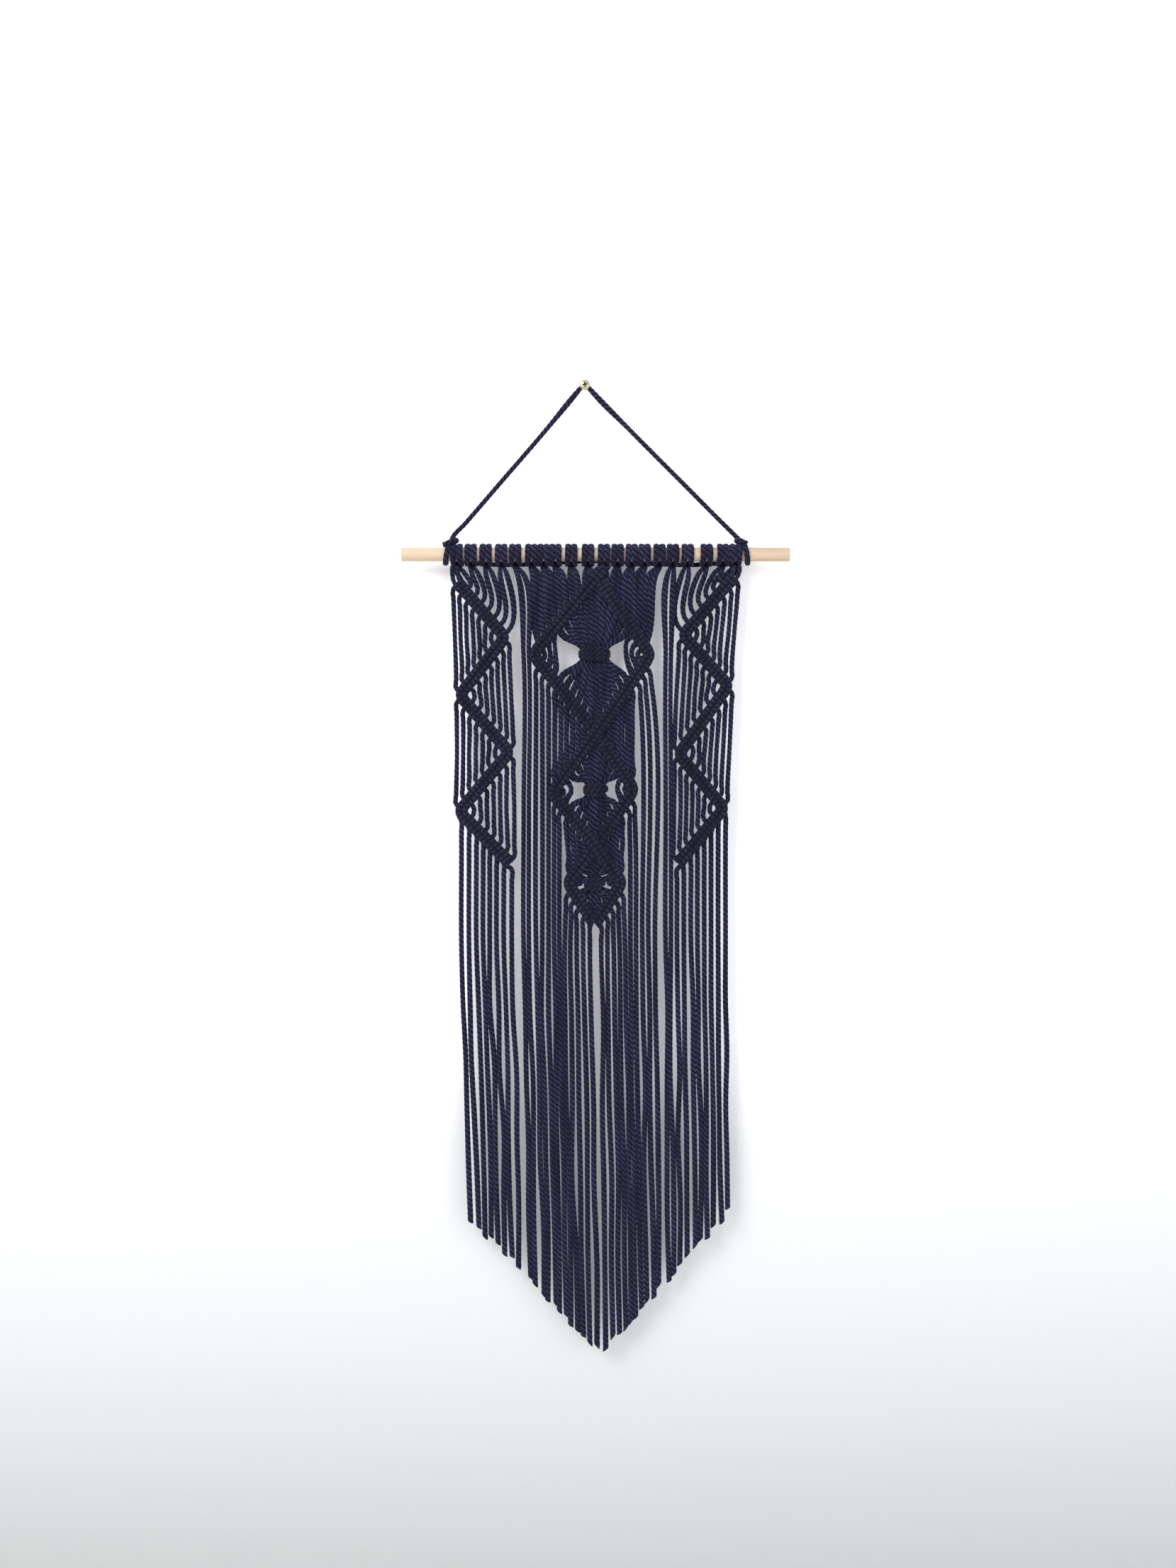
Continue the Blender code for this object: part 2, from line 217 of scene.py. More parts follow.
def add_screw():
    """The screw the cord hangs on: a domed head with a cross on it, on a plain shank; the cross is a
    flat near-black sheet, painted shade standing in for the recess.

    Each profile point (y, radius, height of the axis) is swept once round the axis.
    """
    shank_z = NAIL_TOP - NAIL_RADIUS
    behind_head = -2.9 * MM
    profile = np.array([
        (WALL_Y, NAIL_RADIUS, shank_z + WALL_Y * SHANK_SLOPE),
        (behind_head, NAIL_RADIUS, shank_z + behind_head * SHANK_SLOPE),
        (behind_head, 4.6 * MM, SCREW_Z), (-3.4 * MM, 4.8 * MM, SCREW_Z),
        (-4.1 * MM, 4.4 * MM, SCREW_Z), (-4.7 * MM, 3.2 * MM, SCREW_Z),
        (-4.9 * MM, 1.6 * MM, SCREW_Z), (-4.95 * MM, 0.05 * MM, SCREW_Z)])[:, :, None]
    sides = 32
    turn = np.arange(sides) * math.tau / sides
    rings = np.stack([profile[:, 1] * np.cos(turn), np.tile(profile[:, 0], (1, sides)),
                      profile[:, 2] + profile[:, 1] * np.sin(turn)], axis=-1).reshape(-1, 3)
    here = np.arange(sides)
    after = (here + 1) % sides
    ring = np.arange(len(profile) - 1)[:, None] * sides
    faces = np.stack([ring + here, ring + after, ring + sides + after, ring + sides + here],
                     axis=-1).reshape(-1, 4)
    mesh = bpy.data.meshes.new("screw")
    mesh.from_pydata(rings.tolist(), [], faces.tolist())
    mesh.polygons.foreach_set("use_smooth", [True] * len(faces))
    mesh.materials.append(Shade("brass").set(Base_Color=(0.50, 0.45, 0.30, 1.0), Metallic=0.75,
                                             Roughness=0.38))
    screw = bpy.data.objects.new("screw", mesh)
    bar, arm = 0.55 * MM, 2.4 * MM
    outline = [(bar, arm), (bar, bar), (arm, bar), (arm, -bar), (bar, -bar), (bar, -arm),
               (-bar, -arm), (-bar, -bar), (-arm, -bar), (-arm, bar), (-bar, bar), (-bar, arm)]
    turn = math.radians(12.0)
    # painted shade: a flat near-black sheet just in front of the head, standing in for the shadowed
    # cross recess
    cross = bpy.data.meshes.new("screw_cross")
    cross.from_pydata([(x * math.cos(turn) - z * math.sin(turn), -5.0 * MM,
                        SCREW_Z + x * math.sin(turn) + z * math.cos(turn)) for x, z in outline],
                      [], [tuple(range(12))])
    cross.materials.append(Shade("painted_recess_shade").set(Base_Color=(0.012, 0.009, 0.004, 1.0), Roughness=0.9,
                                                  Specular_IOR_Level=0.0))
    painted_recess_shade = bpy.data.objects.new("screw_cross", cross)
    for item in (screw, painted_recess_shade):
        bpy.context.scene.collection.objects.link(item)


add_screw()
add_light("window", (-1.2, -1.7, 0.9), (0.0, 0.0, -0.4), 1.2, 46.0, (1.0, 0.99, 0.97))
add_light("fill", (1.3, -1.8, 0.1), (0.0, 0.0, -0.45), 1.8, 17.0, (0.97, 0.98, 1.0))
add_light("behind", (0.5, 1.6, 0.3), (0.0, 0.0, -0.4), 1.4, 20.0, (1.0, 1.0, 1.0))
world = bpy.data.worlds.new("room")
bpy.context.scene.world = world
world.use_nodes = True
world.node_tree.nodes["Background"].inputs["Color"].default_value = (0.93, 0.95, 1.0, 1.0)
world.node_tree.nodes["Background"].inputs["Strength"].default_value = 0.62

# ---- the twenty cords ---------------------------------------------------------------------
# Twisted cotton cord of three plies, dyed navy, each cord folded in half over the dowel with a
# reversed lark's head: its bar crosses behind, two turns show in front, and two strands hang.
CORD = 4.2 * MM
PROUD = 1.05                     # how far the plies' crowns stand out from that diameter
LAY = 14.2 * MM                  # length in which the plies go once round
PLY_SIDES = 6                    # corners of the outline on each of the three plies
GROOVE = 0.13                    # depth of the groove between plies, as a share of the radius
STEP = 1.4 * MM                  # distance between a cord's rings
# Places are in millimetres from here on, X from the dowel's middle, until spot() makes metres.
SHEET_Y = -0.3                   # the sheet that the strands hang in
RIDGE_Y = -3.4                   # strands go forward into the ridges that hold them

HEADS = (-127.0, -114.2, -100.5, -86.3, -73.6, -58.8, -47.7, -36.8, -22.3, -7.0,
         7.6, 20.0, 33.0, 44.7, 58.3, 70.6, 84.0, 101.4, 116.5, 127.9)
LEFT_ZIGZAG = ((-127.0, -181.0), (-83.0, -232.0), (-124.0, -285.0), (-79.0, -337.0),
               (-124.5, -391.0), (-77.5, -439.0))
RIGHT_ZIGZAG = ((127.0, -176.0), (80.0, -230.0), (121.0, -276.0), (76.0, -339.0),
                (117.0, -388.0), (75.0, -439.0))
DIAMONDS = (
    dict(top=(0.5, -177.0), left=(-57.0, -248.0), right=(50.0, -248.0), bottom=(0.5, -319.0),
         half=10, loose=((-46.5, -41.5, -36.8), (28.0, 33.0, 38.5)), knot=(-1.0, -247.0, 16.0)),
    dict(top=(0.5, -319.0), left=(-40.0, -374.0), right=(35.0, -371.0), bottom=(0.0, -422.5),
         half=7, loose=((-29.0, -22.5), (20.0, 26.5)), knot=(0.0, -371.0, 15.0)),
    dict(top=(0.0, -422.5), left=(-25.5, -456.0), right=(24.0, -456.0), bottom=(-1.0, -494.0),
         half=5, loose=((-12.8,), (11.2,)), knot=(-1.0, -457.0, 15.0)),
)
KNOT_PITCH = 1.6                 # strands inside a gathering knot lie in two layers, this far
KNOT_LAYER = 1.7                 # apart sideways, and this far from the sheet
FRINGE_TOP = -515.0
LEFT_FRINGE = (-123.0, -116.1, -109.3, -103.1, -97.1, -90.8, -84.2, -76.9)
RIGHT_FRINGE = (74.6, 80.9, 87.4, 93.4, 99.6, 105.8, 112.3, 119.1)
LEFT_PAIR = (-66.0, -61.2)
RIGHT_PAIR = (64.2, 69.0)
CENTRE_FRINGE = (-54.6, -49.0, -43.2, -38.0, -33.2, -28.4, -23.2, -17.4, -11.5, -5.3,
                 5.1, 10.8, 16.5, 22.0, 27.0, 31.9, 37.0, 42.8, 48.4, 54.4)
TIP = (5.7, -887.0)
V_SLOPE = (1.015, 1.10)          # rise of the V's two sides for each unit away from its tip
EXIT_LEAN = 0.4                  # share of a strand's sideways way done just below its head
HITCHED = 0.93                   # share of a diamond's leg that carries hitches


def curve_through(rows, step):
    """A smooth line through rows of numbers whose first three are a place, evenly spaced.

    Between two rows it is a cubic whose slopes are those of the parabola through each row and
    its two neighbours.
    """
    rows = np.asarray(rows, float)
    gaps = np.linalg.norm(np.diff(rows[:, :3], axis=0), axis=1)
    knots = np.concatenate([[0.0], np.cumsum(gaps)])
    rise = np.diff(rows, axis=0) / gaps[:, None]
    slope = np.empty_like(rows)
    slope[0], slope[-1] = rise[0], rise[-1]
    share = (gaps[:-1] / (gaps[:-1] + gaps[1:]))[:, None]
    slope[1:-1] = rise[:-1] * (1 - share) + rise[1:] * share
    t = np.linspace(0.0, knots[-1], int(knots[-1] / step * 3) + 2)
    k = np.clip(np.searchsorted(knots, t, "right") - 1, 0, len(gaps) - 1)
    h = gaps[k][:, None]
    u = ((t - knots[k]) / gaps[k])[:, None]
    fine = (rows[k] * (1 + 2 * u) * (1 - u) ** 2 + rows[k + 1] * (3 - 2 * u) * u ** 2
            + slope[k] * h * u * (1 - u) ** 2 + slope[k + 1] * h * u ** 2 * (u - 1))
    along = np.concatenate([[0.0], np.cumsum(np.linalg.norm(np.diff(fine[:, :3], axis=0), axis=1))])
    even = np.linspace(0.0, along[-1], int(along[-1] / step) + 2)
    return np.stack([np.interp(even, along, column) for column in fine.T], axis=1)


def unit(vectors):
    """Each vector at length one."""
    return vectors / np.maximum(np.linalg.norm(vectors, axis=1, keepdims=True), 1e-12)


def frame_along(rows, step):
    """A smooth line with its distance, outward and sideways directions, and half sizes."""
    line = curve_through(rows, step)
    along = unit(np.gradient(line[:, :3], axis=0))
    side = unit(np.cross(along, line[:, 3:6]))
    run = np.linalg.norm(np.diff(line[:, :3], axis=0), axis=1)
    return (line[:, :3], np.concatenate([[0.0], np.cumsum(run)]), np.cross(side, along), side,
            line[:, 6], line[:, 7])


def skin(name, points, u, v, hollow):
    """A closed tube over rings of points, with its laid directions marked, and the mask of painted
    shade on its hollows.
    """
    rings, count = points.shape[:2]
    ends = np.stack([points[0].mean(axis=0), points[-1].mean(axis=0)])
    ring = np.arange(rings - 1)[:, None] * count
    here = np.arange(count)[None, :]
    after = (here + 1) % count
    quads = np.stack([ring + here, ring + after, ring + count + after, ring + count + here],
                     axis=-1).reshape(-1, 4)
    last = (rings - 1) * count
    caps = np.concatenate([
        np.stack([np.full(count, rings * count), after[0], here[0]], axis=1),
        np.stack([np.full(count, rings * count + 1), last + here[0], last + after[0]], axis=1)])
    mesh = bpy.data.meshes.new(name)
    mesh.vertices.add(rings * count + 2)
    mesh.vertices.foreach_set("co", np.concatenate([points.reshape(-1, 3), ends])
                              .astype(np.float32).ravel())
    mesh.loops.add(quads.size + caps.size)
    mesh.loops.foreach_set("vertex_index", np.concatenate([quads.ravel(), caps.ravel()]))
    mesh.polygons.add(len(quads) + len(caps))
    mesh.polygons.foreach_set("loop_start", np.concatenate(
        [np.arange(len(quads)) * 4, quads.size + np.arange(len(caps)) * 3]))
    mesh.update()
    mesh.validate()
    mesh.polygons.foreach_set("use_smooth", np.arange(len(quads) + len(caps)) < len(quads))
    corners = [np.stack([w[:-1, :-1], w[:-1, 1:], w[1:, 1:], w[1:, :-1]], axis=-1).ravel()
               for w in (u, v)]
    ends_u = np.tile([0.5, 0.4, 0.6], len(caps))
    ends_v = np.repeat([v[0, 0], v[-1, 0]], count * 3)
    laid = mesh.uv_layers.new(name="laid")
    laid.data.foreach_set("uv", np.stack([
        np.concatenate([corners[0], ends_u]), np.concatenate([corners[1], ends_v])], axis=1)
        .astype(np.float32).ravel())
    groove = mesh.attributes.new("groove", "FLOAT", "POINT")
    groove.data.foreach_set("value", np.concatenate([hollow.ravel(), [0.3, 0.3]])
                            .astype(np.float32))
    made = bpy.data.objects.new(name, mesh)
    bpy.context.scene.collection.objects.link(made)
    return made


def rope(name, rows, phase=0.0, cut=(0.0, 0.0)):
    """A twisted cord along rows of (place, outward direction, half depth, half width).

    A point on the surface is the line's place plus the outline's radius times the cosine of
    its angle outward and the sine sideways. The outline is three plies round: its radius falls
    from one at each ply's crown towards the groove as the distance from the crown to a power,
    and it turns once in each lay. cut slants the two ends, as the fall for each unit along X.
    """
    place, run, outward, side, deep, wide = frame_along(rows, STEP)
    count = 3 * PLY_SIDES
    hollow = np.abs((np.arange(count) % PLY_SIDES) / PLY_SIDES * 2 - 1) ** 2.4
    radius = 1 - GROOVE * hollow
    angle = (np.arange(count) * math.tau / count)[None, :] + phase - math.tau * run[:, None] / LAY
    points = (place[:, None, :]
              + outward[:, None, :] * (deep[:, None] * radius * np.cos(angle))[..., None]
              + side[:, None, :] * (wide[:, None] * radius * np.sin(angle))[..., None])
    for end, fall in ((0, cut[0]), (-1, cut[1])):
        near = np.clip(1 - np.abs(run - run[end]) / (3.0 * MM), 0.0, 1.0)[:, None]
        points[..., 2] += near * fall * (points[..., 0] - place[:, None, 0])
    u = np.tile(np.arange(count + 1) / PLY_SIDES, (len(run), 1))
    v = np.tile(run[:, None] / LAY, (1, count + 1))
    # the same hollows are stored as the mask of painted shade that darkens the colour between the
    # plies
    return skin(name, points, u, v, np.tile(hollow, (len(run), 1))), place


def navy_cotton(name, deep, crown, fuzz_highlight):
    """Dyed cotton, with painted shade that darkens it between the plies, so that it is paler on their
    crowns.

    Fine lines run along each ply. The colour varies slowly along the cord, partly as random dye tone
    and partly as paler streaks that are painted highlights, and its palest colour is partly a painted
    highlight for fibres catching the light.
    """
    shade = Shade(name)
    laid = shade.node("UVMap", {"uv_map": "laid"})
    sunk_shade = shade.node("Attribute", {"attribute_name": "groove"}, output=2)
    where = shade.node("TexCoord", output=3)
    stretched = shade.node("Mapping", Vector=laid, Scale=(9.0, 5.0, 1.0), Rotation=(0, 0, 0.5))
    fibres = shade.node("TexNoise", {"noise_dimensions": "2D"}, Vector=stretched, Scale=3.0,
                        Detail=4.0, Roughness=0.65)
    # partly random dye tone, partly paler streaks along the cord that are painted highlights
    dye_and_highlight = shade.node("TexNoise", Vector=shade.node("Mapping", Vector=where, Scale=(
        150.0, 60.0, 16.0)), Scale=1.0, Detail=2.0)
    lint = shade.node("TexNoise", Vector=where, Scale=1500.0, Detail=2.0, Roughness=0.7)
    # painted shade: the colour darkens where the mask marks the grooves between plies and the edges
    # of the rows' turns
    light = (1 - sunk_shade) * (0.35 + 0.9 * fibres) * (0.55 + 0.9 * dye_and_highlight)
    # the palest stop is partly fibre colour and partly a painted highlight
    colour = shade.node("ValToRGB", {"stops": ((0.05, deep), (0.55, crown), (0.95, fuzz_highlight))},
                        Fac=light)
    height = (fibres - sunk_shade * 0.6) + lint * 0.5
    bump = shade.node("Bump", Height=height, Strength=0.55, Distance=0.0004)
    shade.set(Base_Color=colour, Roughness=0.86, Normal=bump, Sheen_Weight=0.12,
              Sheen_Roughness=0.45, Sheen_Tint=(0.55, 0.56, 0.85, 1.0), Specular_IOR_Level=0.16)
    return shade.material


cord_cotton = navy_cotton("navy_cotton", (0.0012, 0.0012, 0.0055), (0.0062, 0.006, 0.0205),
                          (0.036, 0.034, 0.092))
chance = np.random.default_rng(11)


def spot(x, y, z, thick=1.0, outward=(0.0, 1.0, 0.0), spread=1.0):
    """One row of a cord's route, from places in millimetres from the dowel's middle."""
    half = CORD / 2 * thick * PROUD
    return [DOWEL_MIDDLE[0] + x * MM, y * MM, z * MM, *outward, half, half * spread]


def mix(a, b, share):
    """The point a share of the way from a to b."""
    return tuple(p + (q - p) * share for p, q in zip(a, b))


def head_half(x, side):
    """Half a lark's head: from the bar at the back, under, up the front, over and down.

    Each turn is (angle from the back, distance from the axis, distance from the head's
    middle, half depth, half width): the cord lies flattened on the wood.
    """
    on = DOWEL_RADIUS / MM + 1.8
    turns = ((-25.0, 11.7, 3.3, 1.7, 1.7), (-62.0, 10.1, 4.2, 1.6, 1.7),
             (-105.0, on, 3.5, 1.8, 2.5), (-150.0, on, 2.95, 1.85, 2.95),
             (-190.0, on, 2.8, 1.85, 3.1), (-232.0, on, 2.75, 1.85, 3.05),
             (-272.0, on, 2.65, 1.8, 2.8), (-312.0, on, 2.3, 1.7, 2.2),
             (-350.0, on, 1.75, 1.7, 1.7), (-385.0, on + 0.1, 1.5, 1.6, 1.5))
    rows = []
    for angle, radius, out, deep, wide in turns:
        c, s = math.cos(math.radians(angle)), math.sin(math.radians(angle))
        rows.append([DOWEL_MIDDLE[0] + (x + side * out) * MM, radius * c * MM,
                     DOWEL_MIDDLE[2] + radius * s * MM, 0.0, c, s, deep * MM, wide * MM])
    rows.append(spot(x + side * 1.6, 4.7, DOWEL_MIDDLE[2] / MM - 9.9, 0.78))
    return rows


def through(a, b, share, thick=1.1, spread=1.3, square=0.45):
    """Where a strand goes in and out of the ridge from a to b, coming from above.

    square is how much it leans from plumb towards square to the ridge.
    """
    x, z = mix(a, b, share)
    length = math.dist(a, b)
    over = np.array([a[1] - b[1], b[0] - a[0]]) / length
    over *= np.sign(over[1])
    lean = over * square + (0.0, 1.0 - square)
    lean /= lean @ over
    return [spot(x + lean[0] * reach, y, z + lean[1] * reach - sag, thick, spread=spread)
            for reach, y, sag in ((6.5, -1.6, -0.8), (3.0, RIDGE_Y, 0.0),
                                  (-3.0, RIDGE_Y, 0.0), (-6.5, -1.6, 1.0))]


def fall(crossing, fringe_x):
    """A strand's last crossing, after which it drops towards its place in the fringe."""
    middle_x = ((crossing[1][0] + crossing[2][0]) / 2 - DOWEL_MIDDLE[0]) / MM
    middle_z = (crossing[1][2] + crossing[2][2]) / 2 / MM
    x = middle_x + max(-5.0, min(5.0, fringe_x - middle_x))
    rows = crossing[:3] + [spot(x, -1.4, middle_z - 7.0, 1.08), spot(
        x + (fringe_x - x) * 0.35, -0.6, middle_z - 18.0, 1.08)]
    return rows + fringe(fringe_x)


def hang(above, below, thick=1.12):
    """The free stretch between two rows: it hangs plumb soon after one, until near the other."""
    drop = (above[2] - below[2]) / MM
    start, end = [(row[0] - DOWEL_MIDDLE[0]) / MM for row in (above, below)]
    lean = 0.18 * (end - start)
    turn = min(9.0, drop * 0.3)
    rows = []
    if drop > 14.0:
        rows.append(spot(start + lean * 0.3, -0.6, above[2] / MM - turn, thick, spread=1.1))
    if drop > 40.0:
        rows.append(spot((start + end) / 2 + chance.normal() * 0.4, SHEET_Y + chance.normal() * 0.4,
                         (above[2] + below[2]) / MM / 2, thick))
    if drop > 26.0:
        rows.append(spot(end - lean * 0.3, -0.6, below[2] / MM + turn, thick, spread=1.1))
    return rows


def fringe(x):
    """The hanging end of a strand: it drifts right, wavers a little, and is cut to the V."""
    foot = x * 0.975 + 5.5 - 2.8 * np.sign(x) * max(0.0, 1.0 - abs(x) / 12.0)
    slope = V_SLOPE[0] if foot < TIP[0] else V_SLOPE[1]
    low = TIP[1] + slope * abs(foot - TIP[0])
    low += chance.uniform(-3.5, 4.5)
    rows = [spot(x, SHEET_Y, FRINGE_TOP, 1.06)]
    for share in (0.2, 0.4, 0.6, 0.8, 1.0):
        rows.append(spot(x + (foot - x) * share + chance.normal() * 0.8,
                         SHEET_Y + chance.normal() * 0.5,
                         FRINGE_TOP + (low - FRINGE_TOP) * share,
                         1.04 + 0.1 * share + chance.uniform(0.0, 0.12)))
    return rows


def downward(rows):
    """A route without the points that would turn it back up; a ridge's own points stay."""
    kept = rows[:1]
    for row in rows[1:]:
        if row[1] == RIDGE_Y * MM:
            while len(kept) > 1 and kept[-1][2] < row[2] + 1.5 * MM:
                kept.pop()
        elif row[2] > kept[-1][2] - 1.5 * MM:
            continue
        kept.append(row)
    return kept


def zigzag_strand(number, corners, fringe_x, mirrored):
    """A strand of a side strip: through each leg of the zigzag, bowed out between legs."""
    share = 0.035 + 0.93 * number / 7
    rows = []
    for leg in range(len(corners) - 1):
        down_right = (leg % 2 == 0) != mirrored
        crossing = through(corners[leg], corners[leg + 1], share if down_right else 1 - share,
                           0.96, 1.08, 1.0)
        if rows:
            rows += hang(rows[-1], crossing[0], 0.95)
        rows += crossing
    return downward(rows[:-4] + fall(rows[-4:], fringe_x))


def centre_strand(number):
    """A strand of the centre panel: through each diamond and its knot while it belongs."""
    left_half = number < 10
    inner = 9 - number if left_half else number - 10
    outward = -1.0 if left_half else 1.0
    rows = []
    for diamond in DIAMONDS:
        half = diamond["half"]
        if inner >= half:
            break
        corner = diamond["left"] if left_half else diamond["right"]
        share = (inner + 0.5) / half * HITCHED
        crossing = through(diamond["top"], corner, share, 1.2, 1.35)
        if rows:
            rows += hang(rows[-1], crossing[0])
        rows += crossing
        loose = diamond["loose"][0 if left_half else 1]
        gathered = half - len(loose)
        if inner >= gathered:
            order = half - 1 - inner if left_half else inner - gathered
            level = (diamond["top"][1] + (corner[1] - diamond["top"][1]) * share
                     + diamond["bottom"][1] + (corner[1] - diamond["bottom"][1]) * share) / 2
            rows[-1] = spot(loose[order] + outward, -1.6, max(rows[-1][2] / MM, level + 3.0), 1.1)
            rows.append(spot(loose[order], SHEET_Y, level, 1.1))
        else:
            knot_x, knot_z, _ = diamond["knot"]
            x = knot_x + (number - 9.5) * KNOT_PITCH
            y = SHEET_Y + (KNOT_LAYER if number % 2 else -KNOT_LAYER)
            reach = 3.2 + 1.3 * (gathered - 1 - inner)
            fan = (x - knot_x) * 0.25
            rows += [spot(x + fan, y, knot_z + reach + 4.5, 0.95, spread=1.25),
                     spot(x, y, knot_z + reach, 0.8), spot(x, y, knot_z - reach, 0.8),
                     spot(x + fan, y, knot_z - reach - 4.5, 0.95, spread=1.25)]
        rows += through(corner, diamond["bottom"], 1 - share)
    return downward(rows[:-4] + fall(rows[-4:], CENTRE_FRINGE[number]))


def plain_strand(x):
    """A strand that hangs straight from the dowel."""
    return [spot(x, SHEET_Y, -250.0), spot(x, SHEET_Y, -390.0)] + fringe(x)


def strand_below(head, side):
    """Everything below the dowel for one of a cord's two strands."""
    order = head * 2 + side
    if head < 4:
        return zigzag_strand(order, LEFT_ZIGZAG, LEFT_FRINGE[order], False)
    if head == 4:
        return plain_strand(LEFT_PAIR[side])
    if head < 15:
        return centre_strand(order - 10)
    if head == 15:
        return plain_strand(RIGHT_PAIR[side])
    return zigzag_strand(order - 32, RIGHT_ZIGZAG, RIGHT_FRINGE[order - 32], True)


strips = ["left_strip"] * 4 + ["left_pair"] + ["centre_panel"] * 10 + ["right_pair"] + [
    "right_strip"] * 4
for head, (head_x, strip) in enumerate(zip(HEADS, strips)):
    halves = []
    for side, sign in ((0, -1.0), (1, 1.0)):
        below = strand_below(head, side)
        if below[0][2] > DOWEL_MIDDLE[2] - 24.0 * MM:
            below = below[1:]
        first_x = (below[0][0] - DOWEL_MIDDLE[0]) / MM
        lean = EXIT_LEAN * (first_x - head_x - sign * CORD / MM / 2)
        start = spot(head_x + sign * 2.5 + lean, 0.3, DOWEL_MIDDLE[2] / MM - 17.0,
                     1.25 if strip == "centre_panel" else 1.08)
        halves.append(head_half(head_x, sign) + [start] + below)
    bar_turn = math.radians(-25.0)
    bar = [DOWEL_MIDDLE[0] + head_x * MM, 11.9 * MM * math.cos(bar_turn),
           DOWEL_MIDDLE[2] + 11.9 * MM * math.sin(bar_turn),
           0.0, math.cos(bar_turn), math.sin(bar_turn), 1.9 * MM, 1.9 * MM]
    route = halves[0][::-1] + [bar] + halves[1]
    cuts = [chance.uniform(0.5, 1.3) * (1 if row[0] - DOWEL_MIDDLE[0] > TIP[0] * MM else -1)
            for row in (route[0], route[-1])]
    name = "knotted_cord_%02d" % (head + 1)
    strand, line = rope(name, route, phase=chance.uniform(0, 6.28), cut=cuts)
    strand.data.materials.append(cord_cotton)
    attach(strand, strip)
    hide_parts("cord_%02d" % (head + 1))

# ---- the hanger cord ----------------------------------------------------------------------
# The same cord in one length: hitched twice round each end of the dowel, knotted on itself
# above it, pulled taut over the nail, and run back along the dowel behind the lark's heads.
HITCH_X = (-136.6, 138.4)        # the hitches, and below the feet of the legs above them
LEG_FOOT = ((-131.5, -141.0), (131.0, -141.5))


def hitch(x, side):
    """From a leg's foot: once round the dowel, then round the leg itself to a short tail.

    Each turn is (angle above the front, distance from the axis, distance out from x).
    """
    axis_z = DOWEL_MIDDLE[2] / MM
    on = DOWEL_RADIUS / MM + 2.0
    rows = [spot(x + side * 4.4, -3.2, axis_z + 10.2, 1.0, (0.0, -0.8, 0.6))]
    for angle, radius, out in ((62, on + 0.2, 2.8), (20, on, 1.6), (-30, on, 0.2), (-90, on, -1.0),
                               (-150, on, -1.2), (-200, on + 0.3, -0.7), (-240, on + 1.2, 0.4)):
        c, s = math.cos(math.radians(angle)), math.sin(math.radians(angle))
        rows.append([DOWEL_MIDDLE[0] + (x + side * out) * MM, -radius * c * MM,
                     (axis_z + radius * s) * MM, 0.0, -c, s, 2.0 * MM, 2.6 * MM])
    for out, y, up_axis, outward in (
            (2.8, 4.6, 10.8, (0.0, 1.0, 0.0)), (6.4, 4.0, 12.4, (0.0, 1.0, 0.0)),
            (9.2, 0.2, 12.8, (side, 0.0, 0.3)), (7.6, -4.4, 12.2, (0.0, -1.0, 0.3)),
            (4.0, -6.3, 10.2, (0.0, -1.0, 0.3)), (0.2, -6.6, 8.4, (0.0, -1.0, 0.3)),
            (-2.2, -5.8, 7.6, (0.0, -1.0, 0.3))):
        rows.append(spot(x + side * out, y, axis_z + up_axis, 1.05, outward, 1.15))
    return rows


left_foot, right_foot = LEG_FOOT
nail_x = -DOWEL_MIDDLE[0] / MM
bend = (NAIL_RADIUS + CORD / 2) / MM
forward = (0.0, -1.0, 0.0)


def up(x, z, y=0.0):
    """A place on the hanger's legs."""
    return spot(x, y, z, 1.0, forward)


left_turns = hitch(HITCH_X[0], 1.0)[::-1]
right_turns = hitch(HITCH_X[1], -1.0)[:-1]
legs = [up(*left_foot, -0.8), up(*mix(left_foot, (nail_x, 0.0), 0.1)),
        up(*mix(left_foot, (nail_x, 0.0), 0.35)), up(*mix(left_foot, (nail_x, 0.0), 0.7)),
        up(nail_x - bend, -bend * 0.75), spot(nail_x, 0.0, 1.75, 0.76, forward),
        up(nail_x + bend, -bend * 0.75),
        up(*mix(right_foot, (nail_x, 0.0), 0.7)), up(*mix(right_foot, (nail_x, 0.0), 0.35)),
        up(*mix(right_foot, (nail_x, 0.0), 0.1)), up(*right_foot, -0.8)]
hanger, line = rope("hanger_rope", left_turns + legs + right_turns)
hanger.data.materials.append(cord_cotton)
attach(hanger, "hanger")
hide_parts("hanger_cord", "hanger_hitch_left", "hanger_hitch_right")


run_low, run_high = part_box("hanger_return_run")
run_z = run_low[2] / MM + CORD / MM / 2
run_y = run_high[1] / MM - CORD / MM / 2
run = [spot(HITCH_X[0] + 0.5, 10.5, DOWEL_MIDDLE[2] / MM - 1.0, 1.0, (0.0, 0.3, 1.0)),
       spot(HITCH_X[0] + 5.0, run_y, run_z + 1.5, 1.0, (0.0, 0.0, 1.0)),
       spot(HITCH_X[0] + 12.0, run_y, run_z, 1.0, (0.0, 0.0, 1.0)),
       spot(0.0, run_y, run_z, 1.0, (0.0, 0.0, 1.0)),
       spot(HITCH_X[1] - 12.0, run_y, run_z, 1.0, (0.0, 0.0, 1.0)),
       spot(HITCH_X[1] - 5.0, run_y, run_z + 1.5, 1.0, (0.0, 0.0, 1.0)),
       spot(HITCH_X[1] - 0.5, 10.5, DOWEL_MIDDLE[2] / MM - 1.0, 1.0, (0.0, 0.3, 1.0))]
back_run, line = rope("hanger_back_run", run)
back_run.data.materials.append(cord_cotton)
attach(back_run, "hanger")
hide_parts("hanger_return_run")

